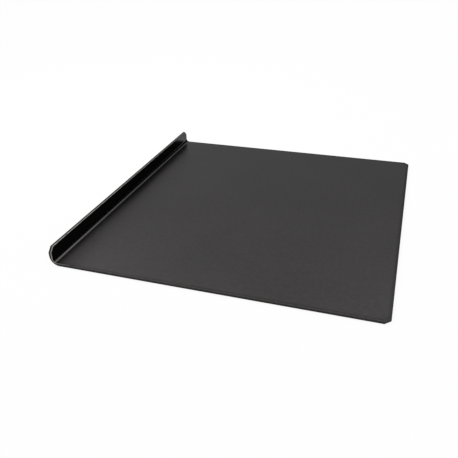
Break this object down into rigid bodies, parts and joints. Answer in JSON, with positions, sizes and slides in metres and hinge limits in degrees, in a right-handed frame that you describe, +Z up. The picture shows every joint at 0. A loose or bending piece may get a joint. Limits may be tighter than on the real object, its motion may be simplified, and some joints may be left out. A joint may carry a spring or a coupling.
{
  "type": "pizza tray",
  "caption": "Flat coated metal tray, open on three sides, with one side folded up into a low flange, for baking and moving pizza or flatbread.",
  "frame": {"origin": "middle of the tray's footprint, on the surface that it lies on", "axes": "+X across the tray from the flange to the free edge, +Y along the flange, +Z up"},
  "size_m": [0.325, 0.354, 0.0192],
  "materials": {
    "sheet_metal": "bare rolled aluminium, hidden under the coating",
    "cooking_coat": "black non-stick coating, fired, with a soft satin gloss",
    "underside_coat": "black non-stick coating, fired, a little duller than the cooking face"
  },
  "bodies": {
    "root": {"folded_sheet": "sheet_metal", "cooking_coating": "cooking_coat", "underside_coating": "underside_coat"}
  },
  "joints": []
}
